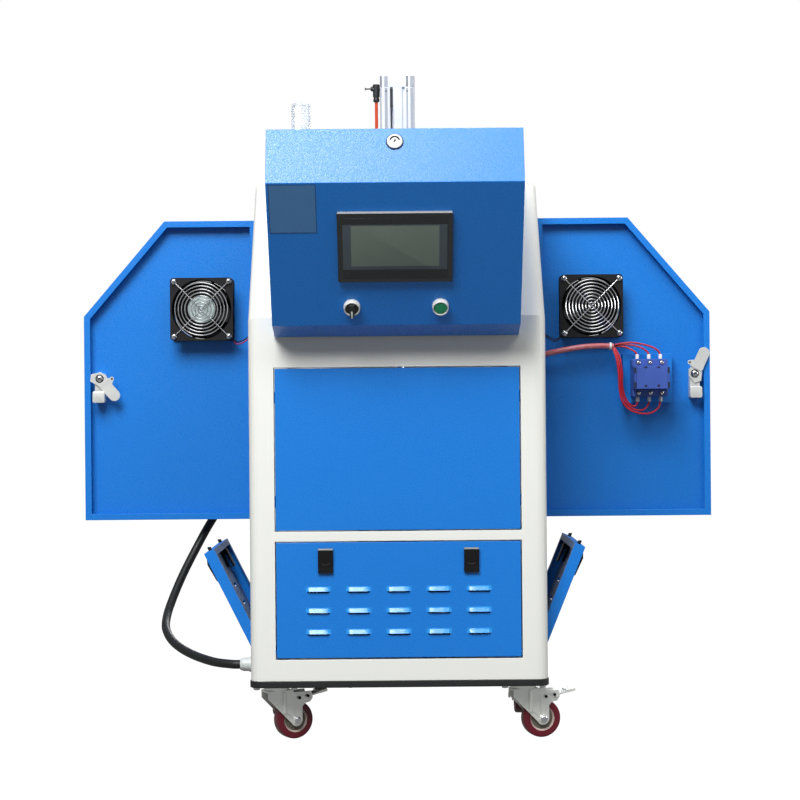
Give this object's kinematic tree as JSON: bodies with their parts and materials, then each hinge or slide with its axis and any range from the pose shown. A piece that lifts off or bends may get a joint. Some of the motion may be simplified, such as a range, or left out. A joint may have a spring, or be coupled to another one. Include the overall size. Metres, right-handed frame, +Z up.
{
  "type": "hot melt glue unit",
  "caption": "Castor-mounted hot melt glue unit: white cabinet with blue panels, open side doors with fans, leaning flaps, a control console and a top air cylinder.",
  "frame": {"origin": "on the floor under the middle of the unit's box, without the power lead", "axes": "+X to the right of the front, +Y to the back, +Z up"},
  "size_m": [1.202, 1.0806, 1.203],
  "materials": {
    "cabinet_white": "smooth powder coat",
    "panel_blue": "fine textured powder coat",
    "base_black": "satin paint",
    "zinc_steel": "zinc plated",
    "chrome": "polished",
    "aluminium": "anodised",
    "die_cast": "die cast",
    "fan_black": "moulded",
    "black_plastic": "moulded",
    "cable_rubber": "matt jacket",
    "gland_grey": "moulded",
    "bezel_grey": "moulded",
    "screen_glass": "display glass",
    "green_plastic": "moulded",
    "contactor_blue": "moulded",
    "wire_red": "insulation",
    "tube_orange": "polyurethane",
    "wheel_maroon": "polyurethane tread",
    "tank_steel": "stainless",
    "machine_grey": "machine enamel",
    "lens_clear": "ribbed lens",
    "module_white": "moulded"
  },
  "bodies": {
    "cabinet": {"front_frame": "cabinet_white", "side_frames": "cabinet_white", "top_cover": "cabinet_white", "base_plate": "base_black", "rear_panel": "cabinet_white", "front_upper_panel": "panel_blue", "hinge_pins": "zinc_steel", "press_cylinder": "aluminium", "air_fittings": "black_plastic", "air_tube": "tube_orange", "reed_switch": "black_plastic", "melt_tank": "tank_steel", "gear_pump": "die_cast", "drive_motor": "machine_grey", "manifold": "tank_steel", "electrical_plate": "module_white", "cable_gland": "gland_grey", "supply_cable": "cable_rubber", "cable_coil": "cable_rubber", "supply_plug": "black_plastic", "castor_mounts": "zinc_steel"},
    "left_door": {"left_door": "panel_blue", "left_fan_frame": "fan_black", "left_fan_guard": "chrome", "left_latch_body": "die_cast"},
    "right_door": {"right_door": "panel_blue", "right_fan_frame": "fan_black", "right_fan_guard": "chrome", "right_latch_body": "die_cast", "contactor_bracket": "panel_blue", "contactor": "contactor_blue", "right_door_wiring": "wire_red"},
    "left_fan": {"left_fan_rotor": "fan_black"},
    "right_fan": {"right_fan_rotor": "fan_black"},
    "left_latch": {"left_latch_lever": "zinc_steel"},
    "right_latch": {"right_latch_lever": "zinc_steel"},
    "front_flap": {"front_flap": "panel_blue"},
    "left_flap": {"left_flap": "panel_blue"},
    "right_flap": {"right_flap": "panel_blue"},
    "front_slides": {"front_flap_latches": "black_plastic"},
    "left_slides": {"left_flap_latches": "black_plastic"},
    "right_slides": {"right_flap_latches": "black_plastic"},
    "hood": {"console_hood": "panel_blue", "hmi_bezel": "bezel_grey", "hmi_screen": "screen_glass", "control_rings": "chrome", "beacon": "lens_clear"},
    "selector": {"selector_knob": "black_plastic"},
    "start_button": {"push_button": "green_plastic"},
    "hood_lock": {"lock_plug": "chrome"},
    "ram": {"ram": "tank_steel"},
    "pump_drive": {"drive_coupling": "die_cast"},
    "left_castor": {"left_fork": "zinc_steel"},
    "right_castor": {"right_fork": "zinc_steel"},
    "front_left_wheel": {"front_left_wheel": "wheel_maroon"},
    "front_right_wheel": {"front_right_wheel": "wheel_maroon"},
    "rear_left_wheel": {"rear_left_wheel": "wheel_maroon"},
    "rear_right_wheel": {"rear_right_wheel": "wheel_maroon"},
    "left_pedal": {"left_pedal": "zinc_steel"},
    "right_pedal": {"right_pedal": "zinc_steel"}
  },
  "joints": [
    {"name": "left_door_hinge", "type": "hinge", "parent": "cabinet", "child": "left_door", "pos_m": [-0.265, 0.282, 0.658], "axis": [0, 0, 1], "range_deg": [0, 90]},
    {"name": "right_door_hinge", "type": "hinge", "parent": "cabinet", "child": "right_door", "pos_m": [0.265, 0.282, 0.658], "axis": [0, 0, 1], "range_deg": [-90, 0], "deforming": ["right_door_wiring"]},
    {"name": "left_fan_spin", "type": "hinge", "parent": "left_door", "child": "left_fan", "pos_m": [-0.373, 0.259, 0.775], "axis": [0, 1, 0], "continuous": true},
    {"name": "right_fan_spin", "type": "hinge", "parent": "right_door", "child": "right_fan", "pos_m": [0.373, 0.259, 0.775], "axis": [0, 1, 0], "continuous": true},
    {"name": "left_latch_turn", "type": "hinge", "parent": "left_door", "child": "left_latch", "pos_m": [-0.571, 0.259, 0.644], "axis": [0, 1, 0], "range_deg": [0, 135]},
    {"name": "right_latch_turn", "type": "hinge", "parent": "right_door", "child": "right_latch", "pos_m": [0.571, 0.259, 0.644], "axis": [0, 1, 0], "range_deg": [0, 70]},
    {"name": "front_flap_hinge", "type": "hinge", "parent": "cabinet", "child": "front_flap", "pos_m": [0, -0.1, 0.16], "axis": [1, 0, 0], "range_deg": [0, 27]},
    {"name": "left_flap_hinge", "type": "hinge", "parent": "cabinet", "child": "left_flap", "pos_m": [-0.254, 0.094, 0.16], "axis": [0, 1, 0], "range_deg": [0, 26.5]},
    {"name": "right_flap_hinge", "type": "hinge", "parent": "cabinet", "child": "right_flap", "pos_m": [0.254, 0.094, 0.16], "axis": [0, -1, 0], "range_deg": [0, 22]},
    {"name": "front_slide_latch", "type": "slide", "parent": "front_flap", "child": "front_slides", "axis": [0, 0, 1], "range_m": [0, 0.007]},
    {"name": "left_slide_latch", "type": "slide", "parent": "left_flap", "child": "left_slides", "axis": [-0.4462, 0, 0.8949], "range_m": [-0.007, 0]},
    {"name": "right_slide_latch", "type": "slide", "parent": "right_flap", "child": "right_slides", "axis": [0.3746, 0, 0.9272], "range_m": [-0.007, 0]},
    {"name": "hood_hinge", "type": "hinge", "parent": "cabinet", "child": "hood", "pos_m": [0, -0.113, 0.715], "axis": [1, 0, 0], "range_deg": [0, 40]},
    {"name": "selector_turn", "type": "hinge", "parent": "hood", "child": "selector", "pos_m": [-0.075, -0.19714, 0.75757], "axis": [0, -0.8309, -0.5564], "range_deg": [-45, 45]},
    {"name": "start_button_press", "type": "slide", "parent": "hood", "child": "start_button", "axis": [0, 0.8309, 0.5564], "range_m": [0, 0.004], "stiffness_N_per_m": 600, "springref_m": -0.002},
    {"name": "hood_lock_turn", "type": "hinge", "parent": "hood", "child": "hood_lock", "pos_m": [0, -0.304, 1.022], "axis": [0, -0.9445, 0.3285], "range_deg": [0, 90]},
    {"name": "ram_slide", "type": "slide", "parent": "cabinet", "child": "ram", "axis": [0, 0, 1], "range_m": [0, 0.12]},
    {"name": "pump_drive_spin", "type": "hinge", "parent": "cabinet", "child": "pump_drive", "pos_m": [0.005, 0.114, 0.238], "axis": [0, 1, 0], "continuous": true},
    {"name": "left_castor_swivel", "type": "hinge", "parent": "cabinet", "child": "left_castor", "pos_m": [-0.218, -0.051, 0.088], "axis": [0, 0, 1], "continuous": true},
    {"name": "front_left_wheel_spin", "type": "hinge", "parent": "left_castor", "child": "front_left_wheel", "pos_m": [-0.18924, -0.03697, 0.034], "axis": [-0.4384, 0.8988, 0], "continuous": true},
    {"name": "left_pedal_press", "type": "hinge", "parent": "left_castor", "child": "left_pedal", "pos_m": [-0.16767, -0.02645, 0.072], "axis": [-0.4384, 0.8988, 0], "range_deg": [0, 14]},
    {"name": "right_castor_swivel", "type": "hinge", "parent": "cabinet", "child": "right_castor", "pos_m": [0.218, -0.051, 0.088], "axis": [0, 0, 1], "continuous": true},
    {"name": "front_right_wheel_spin", "type": "hinge", "parent": "right_castor", "child": "front_right_wheel", "pos_m": [0.24918, -0.0438, 0.034], "axis": [-0.225, 0.9744, 0], "continuous": true},
    {"name": "right_pedal_press", "type": "hinge", "parent": "right_castor", "child": "right_pedal", "pos_m": [0.27257, -0.0384, 0.072], "axis": [-0.225, 0.9744, 0], "range_deg": [0, 14]},
    {"name": "rear_left_wheel_spin", "type": "hinge", "parent": "cabinet", "child": "rear_left_wheel", "pos_m": [-0.23, 0.232, 0.034], "axis": [1, 0, 0], "continuous": true},
    {"name": "rear_right_wheel_spin", "type": "hinge", "parent": "cabinet", "child": "rear_right_wheel", "pos_m": [0.23, 0.232, 0.034], "axis": [1, 0, 0], "continuous": true}
  ]
}
